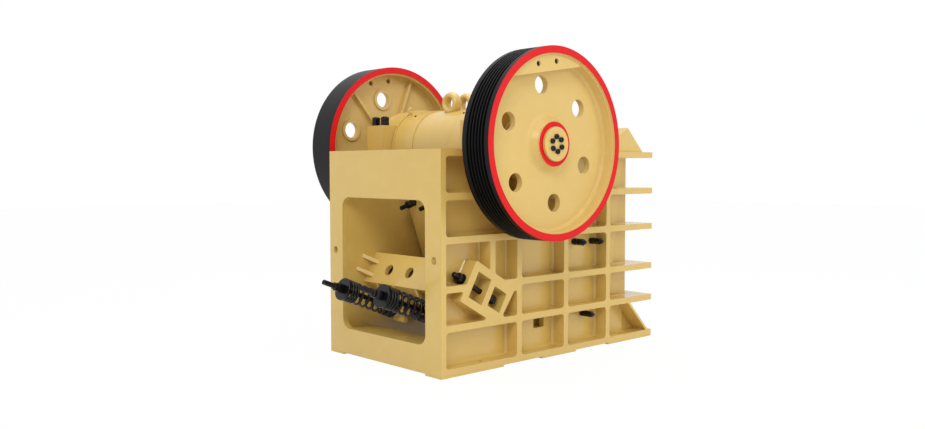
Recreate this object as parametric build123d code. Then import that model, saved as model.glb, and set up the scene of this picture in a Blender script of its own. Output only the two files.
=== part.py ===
from build123d import *
import os
from math import cos, sin, tan, radians, sqrt

# Single-toggle jaw crusher with a 900 x 600 mm feed opening.
# Millimetres. +X points to the feed end with the fixed jaw, +Z is up and -Y is the belt sheave side.
# The origin is the centre of the foundation bolt holes, on the plane that the feet stand on.
# Depths written "from the rear" are measured forward from the outer face of the rear wall.

os.makedirs("parts", exist_ok=True)

# Frame
frame_length = 2430
frame_width = 1348
frame_height = 1600
rear_wall_thickness = 48
side_plate_thickness = 50
rib_depth = 121
rib_thickness = 50
rib_bottoms = [318, 594, 937, 1244]
base_flange_top = 60
foot_height = 13
foot_spans = [(0, 0.253 * frame_length), (0.424 * frame_length, 0.588 * frame_length),
              (0.757 * frame_length, frame_length)]
side_plate_end = frame_length - 230
vertical_rib_centres = [0.32 * frame_length, 0.537 * frame_length, 0.753 * frame_length]
short_rib_faces = (475, 526)
corner_radius = 26
pocket_root_chamfer = 15
toggle_bay_corner_radius = 12
toggle_bay_root_chamfer = 9
acute_bay_corner_radius = 20
end_recess_depth = 35
end_recess_top = side_plate_end - 22
end_recess_foot = side_plate_end - 210
end_recess_corner = 35
end_strip_reach = 60
end_rounding = 30
foot_recess_depth = 25
half_width = frame_width / 2
wall_outer = half_width - rib_depth
wall_inner = wall_outer - side_plate_thickness
foot_width = half_width - wall_inner + 2

# Foundation bolts
bolt_inset = 68
rear_bolt_depth = 430
bolt_spacing_x = 1630
middle_bolt_offset = -43
foundation_hole_radius = 22

# Clean-out hole through each side wall
hole_depths = (1059, 1178)
hole_heights = (215, 305)
hole_corner_radius = 12

# Rear wall, flush with the inner faces of the side walls
window_width = 2 * wall_inner
window_bottom = 212
window_top = 1240
window_corner_radius = 80
lifting_hole_radius = 27
lifting_hole_inset = 75
lifting_hole_height = 821
tie_top = 200
tie_thickness = 50
tie_end = 280

# Toggle line, sloping down to the front
toggle_slope = 30
toggle_line_height = 708
toggle_box_rear = -112
toggle_box_front = 325
toggle_box_half = 160
box_window_rear = (-52, 94, 606, 809)
box_window_front = (148, 286, 632, 785)
box_window_corner_radius = 6

# Pitman width between the bearings
bearing_outer_half = half_width - 2
bearing_inner_half = wall_inner - 37
pitman_half_width = bearing_inner_half - 6

# Toggle beam, seat and plate
beam_rear = -105
beam_front = 100
beam_bottom = 588
beam_top = 847
beam_wall = 40
beam_hole_radius = 45
beam_hole_pitch = 252
beam_web_thickness = 24
beam_web_inset = 6
wall_gusset_length = 115
wall_gusset_reach = 85
wall_gusset_thickness = 30
wall_gusset_lines = [650, 764]
seat_front = 286
seat_half_height = 105
toggle_thickness = 84
toggle_width = 2 * pitman_half_width - 80
seat_width = toggle_width + 20
toggle_nose_radius = 42
toggle_gap = 0.3
moving_seat_half = 50
moving_seat_length = 88
toggle_notch_half = 76
toggle_notch_length = 200

# Adjusting bolts
adjuster_radius = 21
adjuster_depth = 72
adjuster_tip = -205
adjuster_end = 255
adjuster_nut_flats = 66
adjuster_nut_height = 42
adjuster_end_nut = 66
adjuster_washer_radius = 44
adjuster_spot_radius = 48
washer_thickness = 8

# Shaft and crank
shaft_depth = 780
shaft_height = 1635
shaft_radius = 110
crank_radius = 130
crank_throw = 12
crank_angle = 279.3
running_gap = 0.3
side_gap = 5

# Pitman
drum_radius = 312
drum_waist_radius = 304
drum_waist_half = pitman_half_width - 244
pitman_cover_thickness = 10
pitman_cover_radius = 325
pitman_back_slope = 19.3
pitman_front_slope = 7.4
pitman_foot_height = 165
lifting_eye_radius = 62
lifting_eye_half_depth = 28
lifting_eye_half_thickness = 40
lifting_eye_reach = 361
lifting_eye_angles = [103, 77]
drum_eye_radius = 18
drum_eye_wire = 7
drum_eye_angle = 116.5
drum_eye_height = 37
drum_eye_inset = 30

# Jaw plates
jaw_width = 2 * pitman_half_width - 20
jaw_thickness = 80
tooth_pitch = 100
tooth_depth = 30
jaw_bottom = 250
moving_jaw_top = 1570
fixed_jaw_top = 1600
gape = 600
discharge_gap = 100
fixed_jaw_clearance = 4
cheek_thickness = 35
cheek_top = 1560
cheek_bottom = 230
cheek_stud_places = [(1529, 868), (1746, 864), (1634, 273), (1575, 1400), (1715, 1400)]
cheek_stud_reach = 13
cheek_stud_radius = 15
cheek_nut_flats = 47
cheek_nut_stack = 113
jaw_bolt_height = 1190
jaw_bolt_pitch = 240
jaw_bolt_radius = 18
jaw_bolt_length = 150
jaw_bolt_nut_flats = 56
jaw_bolt_nut_height = 78

# Front wall, apron and feed lip
front_plate_thickness = 80
front_web_offsets = [170]
apron_top_depth = side_plate_end - 68
apron_foot_depth = frame_length - 46
apron_thickness = 20
lip_inset = 15
lip_peak_depth = side_plate_end - 100
lip_peak_height = 1802
lip_foot_depth = frame_length - 121
lip_rear_depth = side_plate_end - 400
lip_thickness = 40

# Bearings on the side walls
bearing_rear_depth = 370
bearing_pad_top = 1811
cap_radius = 302
saddle_radius = 255
cap_stud_radius = 21
cap_stud_offset_x = 350
cap_stud_offset_y = 58
cap_nut_flats = 62
cap_nut_height = 30
cap_stud_proud = 14
bearing_cover_radius = 205
bearing_cover_thickness = 30

# Wheels
wheel_radius = 694
wheel_clearance = 121
wheel_width = 257
wheel_inner_half = half_width + wheel_clearance
wheel_outer_half = wheel_inner_half + wheel_width
rim_thickness = 52
rim_step = 12
rim_step_depth = 14
web_recess = 103
web_thickness = 32
hub_radius = 163
hub_inner_radius = 178
hub_root_radius = 205
hub_root_fillet = 45
hub_crown_fillet = 3
rim_root_fillet = 25
hub_recess = 36
hub_inner_half = bearing_outer_half + bearing_cover_thickness + 14
wheel_seat_radius = 95
window_count = 6
wheel_window_radius = 66
wheel_window_circle = 428
wheel_window_angle = 99.3
boss_radius = 90
boss_height = 15
wheel_rib_thickness = 26
wheel_rib_height = 40
counterweight_chord = 516
counterweight_recess = 20
counterweight_bolt_circle = 586
counterweight_bolt_spread = 9.3
counterweight_bolt_radius = 20
groove_count = 6
groove_pitch = 30
groove_top = 24
groove_floor = 13
groove_depth = 20
hub_cover_radius = 124
hub_cover_thickness = 20
hub_bolt_circle = 53
hub_bolt_radius = 20
hub_bolt_height = 16
hub_bolt_count = 6
hub_bolt_angle = 6.5

# Tension rods and springs
rod_offset = 2 / 7 * toggle_width
rod_web_offsets = [140, 338]
rod_slope = 21.6
rod_radius = 19
rod_tip_depth = -355
rod_tip_height = 627
spring_start_distance = 205
spring_length = 475
spring_washer_thickness = 13
spring_radius = 84
spring_wire = 20
spring_coils = 10
rod_washer_radius = 86
rod_washer_thickness = 26
rod_nut_flats = 62
rod_nut_height = 60
bracket_thickness = 40
bracket_above = 90
bracket_below = 90
web_below = 40
web_ahead = 34
bracket_hole_clearance = 6
bracket_end_margin = 40
bracket_boss_radius = 60
bracket_boss_length = 72
rod_pin_radius = 15
rod_pin_depth = 840
rod_eye_wall = 18
rod_eye_width = 40
rod_lug_thickness = 30
rod_lug_radius = 29
rod_lug_root_height = 235
pin_gap = 0.5

# Worked out from the sizes above
rear_face = -(rear_bolt_depth + bolt_spacing_x / 2)
front_face = rear_face + frame_length
bolt_row = half_width - bolt_inset
shaft_x = rear_face + shaft_depth
crank_x = shaft_x + crank_throw * cos(radians(crank_angle))
crank_z = shaft_height + crank_throw * sin(radians(crank_angle))
orbit_x = shaft_x - crank_x
orbit_z = shaft_height - crank_z
toggle_cos = cos(radians(toggle_slope))
toggle_sin = sin(radians(toggle_slope))
rod_cos = cos(radians(rod_slope))
rod_sin = sin(radians(rod_slope))
back_cos = cos(radians(pitman_back_slope))
back_sin = sin(radians(pitman_back_slope))
front_cos = cos(radians(pitman_front_slope))
front_sin = sin(radians(pitman_front_slope))
fit_margin = 1
cut_margin = 10


def deep(distance):
    return rear_face + distance


def block(x0, x1, y0, y1, z0, z1):
    centre = Pos((x0 + x1) / 2, (y0 + y1) / 2, (z0 + z1) / 2)
    return centre * Box(abs(x1 - x0), abs(y1 - y0), abs(z1 - z0))


def slab(points, y0, y1, radius=0):
    """Outline in the XZ plane, made solid from y0 to y1."""
    face = make_face(Polyline([(x, y0, z) for x, z in points], close=True))
    if radius:
        face = fillet(face.vertices(), radius)
    return extrude(face, amount=y1 - y0, dir=(0, 1, 0))


def round_bar(x, z, radius, y0, y1):
    return Pos(x, (y0 + y1) / 2, z) * Rot(90, 0, 0) * Cylinder(radius, abs(y1 - y0))


def toggle_point(along, across):
    """Point of the XZ plane from the distance along the toggle line and the height across it."""
    x = toggle_cos * along + toggle_sin * across
    z = -toggle_sin * along + toggle_cos * across
    return deep(x), z


def toggle_slab(along0, along1, across0, across1, y0, y1, radius=0):
    corners = [(along0, across0), (along1, across0), (along1, across1), (along0, across1)]
    return slab([toggle_point(*corner) for corner in corners], y0, y1, radius)


def toggle_bar(along0, along1, across, y, shape):
    """Stand a shape made along Z on the toggle line, from one distance to another."""
    x0, z0 = toggle_point(along0, across)
    x1, z1 = toggle_point(along1, across)
    return Pos((x0 + x1) / 2, y, (z0 + z1) / 2) * Rot(0, 90 + toggle_slope, 0) * shape


def rod_point(distance, across=0):
    """Point of the XZ plane on a tension rod, measured from its rear tip."""
    x = rod_tip_depth + rod_cos * distance + rod_sin * across
    z = rod_tip_height - rod_sin * distance + rod_cos * across
    return deep(x), z


def on_rod(distance0, distance1, y, shape):
    x0, z0 = rod_point(distance0)
    x1, z1 = rod_point(distance1)
    return Pos((x0 + x1) / 2, y, (z0 + z1) / 2) * Rot(0, 90 + rod_slope, 0) * shape


def hexagon_bar(flats, height):
    return extrude(RegularPolygon(flats / 2, 6, major_radius=False), amount=height / 2, both=True)


def one(shapes):
    """Join a list of shapes into one."""
    result = shapes[0]
    for shape in shapes[1:]:
        result = result + shape
    return result


def mirrored(shape):
    return mirror(shape, about=Plane.XZ)


def apart(shapes):
    """Keep separate solids together in one node."""
    solids = []
    for shape in shapes:
        solids.extend(shape.solids())
    return Compound(children=solids)


def write(name, shape):
    export_step(shape, "parts/" + name + ".step")


# Side walls
def rib_rows():
    """Clear heights between the horizontal ribs, from the bottom up."""
    floors = [base_flange_top] + [bottom + rib_thickness for bottom in rib_bottoms]
    ceilings = rib_bottoms + [frame_height - rib_thickness]
    return list(zip(floors, ceilings))


def line_at_height(along, height):
    """Where a line across the toggle direction meets a height."""
    across = (height + toggle_sin * along) / toggle_cos
    return toggle_point(along, across)


def top_line_at_depth(distance, across):
    along = (distance - toggle_sin * across) / toggle_cos
    return toggle_point(along, across)


def along_line_at_height(across, height):
    along = (toggle_cos * across - height) / toggle_sin
    return toggle_point(along, across)


def toggle_bay_outlines():
    """The pockets round the tilted toggle box, in the two rows that it crosses."""
    low, high = rib_rows()[1], rib_rows()[2]
    box_bottom = toggle_line_height - toggle_box_half
    box_top = toggle_line_height + toggle_box_half
    rear = deep(rear_wall_thickness)
    short_rear, short_front = deep(short_rib_faces[0]), deep(short_rib_faces[1])
    column = deep(vertical_rib_faces()[0][0])
    upper_rear = [
        (rear, high[0]),
        line_at_height(toggle_box_rear, high[0]),
        toggle_point(toggle_box_rear, box_top),
        top_line_at_depth(short_rib_faces[0], box_top),
        (short_rear, high[1]),
        (rear, high[1]),
    ]
    upper_front = [
        top_line_at_depth(short_rib_faces[1], box_top),
        along_line_at_height(box_top, high[0]),
        (column, high[0]),
        (column, high[1]),
        (short_front, high[1]),
    ]
    lower_rear = [
        (rear, low[0]),
        along_line_at_height(box_bottom, low[0]),
        toggle_point(toggle_box_rear, box_bottom),
        line_at_height(toggle_box_rear, low[1]),
        (rear, low[1]),
    ]
    lower_front = [
        line_at_height(toggle_box_front, low[0]),
        (column, low[0]),
        (column, low[1]),
    ]
    return [upper_rear, upper_front, lower_rear, lower_front]


def pocket(points, y0, y1, corner, root):
    """A pocket tool with rounded corners and a sloping root where it meets the recessed plate."""
    body = slab(points, y0, y1, corner)
    return chamfer(body.faces().sort_by(Axis.Y)[-1].edges(), root)


def vertical_rib_faces():
    """Rear and front face of each upright rib, in depth from the rear."""
    return [(centre - rib_thickness / 2, centre + rib_thickness / 2) for centre in vertical_rib_centres]


def side_pockets():
    outer, floor = -half_width - cut_margin, -wall_outer
    tools = []
    bays = toggle_bay_outlines()
    for points in bays[:-1]:
        tools.append(pocket(points, outer, floor, toggle_bay_corner_radius, toggle_bay_root_chamfer))
    tools.append(pocket(bays[-1], outer, floor, acute_bay_corner_radius, toggle_bay_root_chamfer))
    bays = [rear_wall_thickness] + [face for faces in vertical_rib_faces() for face in faces]
    bays.append(frame_length)
    columns = [(bays[i], bays[i + 1]) for i in range(0, len(bays), 2)]
    rows = rib_rows()
    for column_index, (start, end) in enumerate(columns):
        for row_index, (low, high) in enumerate(rows):
            if column_index == 0 and row_index in (1, 2):
                continue
            corners = [(deep(start), low), (deep(end), low), (deep(end), high), (deep(start), high)]
            tools.append(pocket(corners, outer, floor, corner_radius, pocket_root_chamfer))
    for along0, along1, across0, across1 in (box_window_rear, box_window_front):
        tools.append(toggle_slab(along0, along1, across0, across1, outer, floor, box_window_corner_radius))
    return tools


def clean_out_hole():
    x0, x1 = deep(hole_depths[0]), deep(hole_depths[1])
    z0, z1 = hole_heights
    return slab([(x0, z0), (x1, z0), (x1, z1), (x0, z1)], -half_width, -wall_inner + cut_margin,
                hole_corner_radius)


def end_recesses():
    """Shallow recesses along the front edge of the side plate, with a leaning rear edge."""
    lean = (end_recess_top - end_recess_foot) / (frame_height - rib_thickness - rib_bottoms[0])
    tools = []
    for low, high in rib_rows()[1:]:
        rear_low = deep(end_recess_foot + lean * (low - rib_bottoms[0]))
        rear_high = deep(end_recess_foot + lean * (high - rib_bottoms[0]))
        front = deep(side_plate_end) + cut_margin
        face = make_face(Polyline([(x, -wall_outer, z) for x, z in (
            (rear_low, low), (front, low), (front, high), (rear_high, high))], close=True))
        corner = face.vertices().sort_by_distance((rear_low, -wall_outer, low))[0]
        tools.append(extrude(fillet(corner, end_recess_corner), amount=end_recess_depth, dir=(0, 1, 0)))
    return tools


def front_strips():
    """The thinner front edge of the side plate above, and the recessed plate up to the apron below."""
    start, end = deep(side_plate_end) - cut_margin, deep(side_plate_end + end_strip_reach)
    strips = []
    for low, high in rib_rows()[1:]:
        strips.append(block(start, end, -wall_outer + end_recess_depth, -wall_inner, low, high))
    strips.append(block(start, deep(apron_foot_depth), -wall_outer + foot_recess_depth, -wall_inner,
                        base_flange_top, rib_bottoms[0]))
    return strips


def end_corner():
    """What rounding takes off the side plate's front edge in its lowest row."""
    x, y, radius = deep(side_plate_end), -wall_outer, end_rounding
    low, high = base_flange_top, rib_bottoms[0]
    corner = block(x - radius, x + cut_margin, y - cut_margin, y + radius, low, high)
    return corner - Pos(x - radius, y + radius, (low + high) / 2) * Cylinder(radius, high - low)


def side_wall():
    outline = [
        (deep(rear_wall_thickness), foot_height),
        (deep(side_plate_end), foot_height),
        (deep(side_plate_end), frame_height),
        (deep(rear_wall_thickness), frame_height),
    ]
    wall = slab(outline, -half_width, -wall_inner)
    for tool in side_pockets():
        wall = wall - tool
    for tool in end_recesses():
        wall = wall - tool
    wall = wall - end_corner()
    for strip in front_strips():
        wall = wall + strip
    wall = wall - apron_front() - clean_out_hole()
    wall = wall - round_bar(shaft_x, shaft_height, saddle_radius, -half_width - cut_margin, 0)
    for x in foundation_rows():
        hole = Pos(x, -bolt_row, 0) * Cylinder(foundation_hole_radius, 4 * base_flange_top)
        wall = wall - hole
    inner = -wall_inner + cut_margin
    bore_length = adjuster_end - adjuster_tip
    wall = wall - toggle_bar(adjuster_tip, adjuster_end, toggle_line_height, -adjuster_y(),
                             Cylinder(adjuster_radius + fit_margin, bore_length))
    wall = wall - toggle_bar(adjuster_tip, toggle_box_rear, toggle_line_height, -adjuster_y(),
                             Cylinder(adjuster_spot_radius, toggle_box_rear - adjuster_tip))
    for x, z in cheek_stud_places:
        wall = wall - round_bar(deep(x), z, cheek_stud_radius + fit_margin, -half_width, inner)
    return wall


def foundation_rows():
    return [-bolt_spacing_x / 2, middle_bolt_offset, bolt_spacing_x / 2]


def adjuster_y():
    return half_width - adjuster_depth


# Rear wall and feet
def rear_wall():
    wall = block(rear_face, deep(rear_wall_thickness), -half_width, half_width, foot_height, frame_height)
    height = window_top - window_bottom
    opening = extrude(RectangleRounded(window_width, height, window_corner_radius), 4 * rear_wall_thickness,
                      both=True)
    wall = wall - Pos(rear_face, 0, window_bottom + height / 2) * Rot(0, 0, 90) * Rot(90, 0, 0) * opening
    for side in (-1, 1):
        place = Pos(rear_face, side * (half_width - lifting_hole_inset), lifting_hole_height)
        wall = wall - place * Rot(0, 90, 0) * Cylinder(lifting_hole_radius, 4 * rear_wall_thickness)
    return wall


def rear_tie():
    """Cross plate behind the sill of the rear window."""
    return block(deep(rear_wall_thickness), deep(tie_end), -wall_inner, wall_inner,
                 tie_top - tie_thickness, tie_top)


def foot_pads():
    pads = []
    for start, end in foot_spans:
        for side in (-1, 1):
            pad = block(deep(start), deep(end), side * (half_width - foot_width), side * half_width,
                        0, foot_height)
            for x in foundation_rows():
                hole = Pos(x, side * bolt_row, 0) * Cylinder(foundation_hole_radius, 4 * foot_height)
                pad = pad - hole
            pads.append(pad)
    return apart(pads)


# Front wall
def fixed_face_x(z):
    """Face of the fixed jaw at a height."""
    top_x = moving_face_x(fixed_jaw_top) + gape
    foot_x = moving_face_x(jaw_bottom) + discharge_gap
    return foot_x + (top_x - foot_x) * (z - jaw_bottom) / (fixed_jaw_top - jaw_bottom)


def moving_face_x(z):
    """Face of the moving jaw at a height."""
    back = crank_x + (drum_waist_radius - front_sin * (z - crank_z)) / front_cos
    return back + jaw_thickness / front_cos


def front_wall():
    top, foot = frame_height, foot_height
    back_top, back_foot = fixed_face_x(top) + jaw_thickness, fixed_face_x(foot) + jaw_thickness
    plate = slab([
        (back_foot, foot),
        (back_foot + front_plate_thickness, foot),
        (back_top + front_plate_thickness, top),
        (back_top, top),
    ], -wall_inner, wall_inner)
    pieces = [plate]
    levels = [(foot_height, base_flange_top)]
    levels += [(bottom, bottom + rib_thickness) for bottom in rib_bottoms]
    levels.append((frame_height - rib_thickness, frame_height))
    for low, high in levels:
        root = fixed_face_x(low) + jaw_thickness + front_plate_thickness / 2
        pieces.append(block(root, deep(side_plate_end), -wall_inner, wall_inner, low, high))
        pieces.append(block(deep(side_plate_end), front_face, -half_width, half_width, low, high))
    for offset in front_web_offsets:
        for side in (-1, 1):
            y0 = side * offset - rib_thickness / 2
            pieces.append(slab([
                (back_foot + front_plate_thickness / 2, foot),
                (deep(side_plate_end), foot),
                (deep(side_plate_end), top),
                (back_top + front_plate_thickness / 2, top),
            ], y0, y0 + rib_thickness))
    pieces.append(apron())
    wall = one(pieces)
    front_hole = foundation_rows()[-1]
    for side in (-1, 1):
        wall = wall - Pos(front_hole, side * bolt_row, 0) * Cylinder(foundation_hole_radius,
                                                                     4 * base_flange_top)
    return wall


def apron_front():
    """Everything in front of the inner face of the apron."""
    top, foot = rib_bottoms[0], base_flange_top
    across = apron_thickness * sqrt(2)
    points = [
        (deep(apron_top_depth) - across, top),
        (deep(apron_foot_depth) - across, foot),
        (front_face + cut_margin, foot),
        (front_face + cut_margin, top),
    ]
    return slab(points, -half_width, half_width)


def apron():
    top, foot = rib_bottoms[0], base_flange_top
    across = apron_thickness * sqrt(2)
    points = [
        (deep(apron_top_depth), top),
        (deep(apron_foot_depth), foot),
        (deep(apron_foot_depth) - across, foot),
        (deep(apron_top_depth) - across, top),
    ]
    return slab(points, -half_width, half_width)


def feed_lip():
    """Sloping plate above the front wall on upright gussets."""
    slope = (lip_peak_height - frame_height) / (lip_peak_depth - lip_rear_depth)
    across = lip_thickness * sqrt(1 + slope * slope)
    half = half_width - lip_inset
    plate = slab([
        (deep(lip_rear_depth), frame_height),
        (deep(lip_rear_depth) + across / slope, frame_height),
        (deep(lip_peak_depth), lip_peak_height - across),
        (deep(lip_peak_depth), lip_peak_height),
    ], -half, half)
    pieces = [plate]
    gusset_centres = [-half + lip_thickness / 2, half - lip_thickness / 2]
    gusset_centres += [side * offset for offset in front_web_offsets for side in (-1, 1)]
    for centre in gusset_centres:
        pieces.append(slab([
            (deep(lip_rear_depth), frame_height),
            (deep(lip_foot_depth), frame_height),
            (deep(lip_peak_depth), lip_peak_height),
        ], centre - lip_thickness / 2, centre + lip_thickness / 2))
    return one(pieces)


# Toggle beam, seat and plate
def beam_hole_rows():
    return [-beam_hole_pitch, 0, beam_hole_pitch]


def toggle_beam():
    half = wall_inner
    beam = toggle_slab(beam_rear, beam_front, beam_bottom, beam_top, -half, half)
    beam = beam - toggle_slab(beam_rear + beam_wall, beam_front - beam_wall, beam_bottom + beam_wall,
                              beam_top - beam_wall, -half, half)
    for y in beam_hole_rows():
        beam = beam - toggle_bar(beam_rear - beam_wall, beam_rear + 2 * beam_wall, toggle_line_height, y,
                                 Cylinder(beam_hole_radius, 3 * beam_wall))
    pieces = [beam] + beam_webs()
    for side in (-1, 1):
        for across in wall_gusset_lines:
            pieces.append(wall_gusset(side, across))
    return one(pieces)


def bracket_span():
    """Start and end of the spring brackets on the rods."""
    start = spring_start_distance + spring_length + spring_washer_thickness + bracket_boss_length
    return start, start + bracket_thickness


def beam_webs():
    """Upright webs under the beam; the inner ones carry the spring brackets."""
    start, end = bracket_span()
    outline = [
        toggle_point(beam_rear + beam_web_inset, beam_bottom),
        toggle_point(beam_front, beam_bottom),
        rod_point(end, bracket_above),
        rod_point(end, -web_below),
        rod_point(start - web_ahead, -web_below),
    ]
    webs = []
    for offset in rod_web_offsets:
        for side in (-1, 1):
            y0 = side * offset - beam_web_thickness / 2
            webs.append(slab(outline, y0, y0 + beam_web_thickness))
    return webs


def wall_gusset(side, across):
    """Flat three-cornered gusset between the side wall and the rear face of the beam."""
    corners = [(beam_rear, 0), (beam_rear - wall_gusset_length, 0), (beam_rear, wall_gusset_reach)]
    face_points = []
    for along, reach in corners:
        x, z = toggle_point(along, across - wall_gusset_thickness / 2)
        face_points.append((x, side * (wall_inner - reach), z))
    face = make_face(Polyline(face_points, close=True))
    return extrude(face, amount=wall_gusset_thickness, dir=(toggle_sin, 0, toggle_cos))


def toggle_seat():
    seat = toggle_slab(beam_front, seat_front, toggle_line_height - seat_half_height,
                       toggle_line_height + seat_half_height, -seat_width / 2, seat_width / 2)
    x, z = toggle_point(seat_front, toggle_line_height)
    return seat - round_bar(x, z, toggle_nose_radius + toggle_gap, -seat_width, seat_width)


def toggle_rest():
    """How far the moving seat comes towards the toggle in a turn, from where it is at rest."""
    return crank_throw - orbit_x * toggle_cos + orbit_z * toggle_sin


def back_distance(along, across):
    """How far a point on the toggle line stands behind the pitman's back plane."""
    x, z = toggle_point(along, across)
    return drum_waist_radius - (crank_x - x) * back_cos - (crank_z - z) * back_sin


def pitman_back_x(z):
    return crank_x - (drum_waist_radius - back_sin * (crank_z - z)) / back_cos


def toggle_meets_back():
    near, far = seat_front, 2 * frame_length
    for step in range(60):
        middle = (near + far) / 2
        if back_distance(middle, toggle_line_height) < 0:
            near = middle
        else:
            far = middle
    return near


def toggle_plate():
    front = moving_seat_face() - toggle_clearance()
    rear_centre, front_centre = seat_front, front - toggle_nose_radius
    body = toggle_slab(rear_centre, front_centre, toggle_line_height - toggle_thickness / 2,
                       toggle_line_height + toggle_thickness / 2, -toggle_width / 2, toggle_width / 2)
    for centre in (rear_centre, front_centre):
        x, z = toggle_point(centre, toggle_line_height)
        body = body + round_bar(x, z, toggle_nose_radius, -toggle_width / 2, toggle_width / 2)
    return body


def toggle_clearance():
    """Rest gap in front of the toggle, which the crank takes up once a turn."""
    return toggle_rest() + toggle_gap


def moving_seat_face():
    return toggle_meets_back() - fit_margin


def moving_toggle_seat():
    """Block let into the foot of the pitman, flush with its back."""
    start = moving_seat_face()
    return toggle_slab(start, start + moving_seat_length, toggle_line_height - moving_seat_half,
                       toggle_line_height + moving_seat_half, -toggle_width / 2, toggle_width / 2)


def toggle_notch():
    """Space in the back of the pitman for the toggle plate."""
    end = moving_seat_face()
    return toggle_slab(end - toggle_notch_length, end, toggle_line_height - toggle_notch_half,
                       toggle_line_height + toggle_notch_half, -half_width, half_width)


# Adjusting bolts
def adjusting_bolt():
    y = -adjuster_y()
    length = adjuster_end - adjuster_tip
    rod = toggle_bar(adjuster_tip, adjuster_end, toggle_line_height, y, Cylinder(adjuster_radius, length))
    washer_rear = toggle_box_rear - washer_thickness
    washer = toggle_bar(washer_rear, toggle_box_rear, toggle_line_height, y,
                        Cylinder(adjuster_washer_radius, washer_thickness))
    nut = toggle_bar(washer_rear - adjuster_nut_height, washer_rear, toggle_line_height, y,
                     hexagon_bar(adjuster_nut_flats, adjuster_nut_height))
    end_nut = toggle_bar(adjuster_end - adjuster_end_nut, adjuster_end, toggle_line_height, y,
                         hexagon_bar(adjuster_nut_flats, adjuster_end_nut))
    return one([rod, washer, nut, end_nut])


# Tension rods and springs
def rod_eye_distance():
    return (rod_pin_depth - rod_tip_depth) / rod_cos


def rod_eye_radius():
    return rod_pin_radius + crank_throw + pin_gap


def tension_rod(y):
    eye_distance = rod_eye_distance()
    rod = on_rod(0, eye_distance, y, Cylinder(rod_radius, eye_distance))
    x, z = rod_point(eye_distance)
    outer = rod_eye_radius() + rod_eye_wall
    rod = rod + round_bar(x, z, outer, y - rod_eye_width / 2, y + rod_eye_width / 2)
    return rod - round_bar(x, z, rod_eye_radius(), y - rod_eye_width, y + rod_eye_width)


def rod_nut(y):
    """Nut and washer behind the spring and the washer in front of it."""
    washer_end = spring_start_distance
    washer_start = washer_end - rod_washer_thickness
    washer = on_rod(washer_start, washer_end, y, Cylinder(rod_washer_radius, rod_washer_thickness))
    nut_start = washer_start - rod_nut_height
    nut = on_rod(nut_start, washer_start, y, Box(rod_nut_flats, rod_nut_flats, rod_nut_height))
    bore = on_rod(0, 2 * washer_end, y, Cylinder(rod_radius, 2 * washer_end))
    front_end = bracket_span()[0] - bracket_boss_length
    front = on_rod(front_end - spring_washer_thickness, front_end, y,
                   Cylinder(rod_washer_radius, spring_washer_thickness)
                   - Cylinder(rod_radius, spring_washer_thickness))
    return apart([washer + nut - bore, front])


def tension_spring(y):
    """Coil spring as a ridged sleeve, one ridge for each coil."""
    pitch = spring_length / spring_coils
    inner = spring_radius - spring_wire
    middle = spring_radius - spring_wire / 2
    sleeve = Cylinder(middle, spring_length) - Cylinder(inner, spring_length)
    pieces = [sleeve]
    for index in range(spring_coils):
        height = -spring_length / 2 + (index + 0.5) * pitch
        pieces.append(Pos(0, 0, height) * Torus(middle, spring_wire / 2))
    return on_rod(spring_start_distance, spring_start_distance + spring_length, y, one(pieces))


def spring_bracket():
    """Block with a round seat, on an inner web, that takes the front end of a spring."""
    start, end = bracket_span()
    corners = [(start, -bracket_below), (end, -bracket_below), (end, bracket_above), (start, bracket_above)]
    root = rod_web_offsets[0] + beam_web_thickness / 2
    plate = slab([rod_point(*corner) for corner in corners], -rod_offset - bracket_end_margin, -root)
    boss_start = start - bracket_boss_length
    boss = on_rod(boss_start, end, -rod_offset, Cylinder(bracket_boss_radius, end - boss_start))
    bore = Cylinder(rod_radius + bracket_hole_clearance, end - boss_start + 2 * cut_margin)
    return plate + boss - on_rod(boss_start - cut_margin, end + cut_margin, -rod_offset, bore)


def rod_pin_place():
    x, z = rod_point(rod_eye_distance())
    return x - orbit_x, z - orbit_z


def rod_pin(y):
    x, z = rod_pin_place()
    reach = rod_eye_width / 2 + side_gap + rod_lug_thickness
    return round_bar(x, z, rod_pin_radius, y - reach, y + reach)


def rod_lugs(y):
    """Two ears under the pitman that carry a rod pin."""
    x, z = rod_pin_place()
    pieces = []
    for side in (-1, 1):
        y0 = y + side * (rod_eye_width / 2 + side_gap)
        y1 = y0 + side * rod_lug_thickness
        low, high = min(y0, y1), max(y0, y1)
        root = pitman_back_x(rod_lug_root_height) + cut_margin
        ear = slab([
            (x, z - rod_lug_radius),
            (pitman_back_x(pitman_foot_height) + 2 * rod_lug_radius, pitman_foot_height),
            (root, rod_lug_root_height),
            (x + rod_lug_radius * toggle_sin, z + rod_lug_radius * toggle_cos),
        ], low, high)
        pieces.append(ear + round_bar(x, z, rod_lug_radius, low, high))
    return one(pieces)


# Bearings
def bearing_seat():
    inner, outer = -bearing_outer_half, -bearing_inner_half
    shell = round_bar(shaft_x, shaft_height, saddle_radius, inner, outer)
    half_length = shaft_depth - bearing_rear_depth
    lower = block(shaft_x - saddle_radius, shaft_x + saddle_radius, inner, outer,
                  shaft_height - saddle_radius, shaft_height)
    seat = (shell & lower) + block(shaft_x - half_length, shaft_x + half_length, inner, outer,
                                   frame_height, shaft_height)
    return seat - round_bar(shaft_x, shaft_height, shaft_radius + running_gap, inner - cut_margin,
                            outer + cut_margin)


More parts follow.
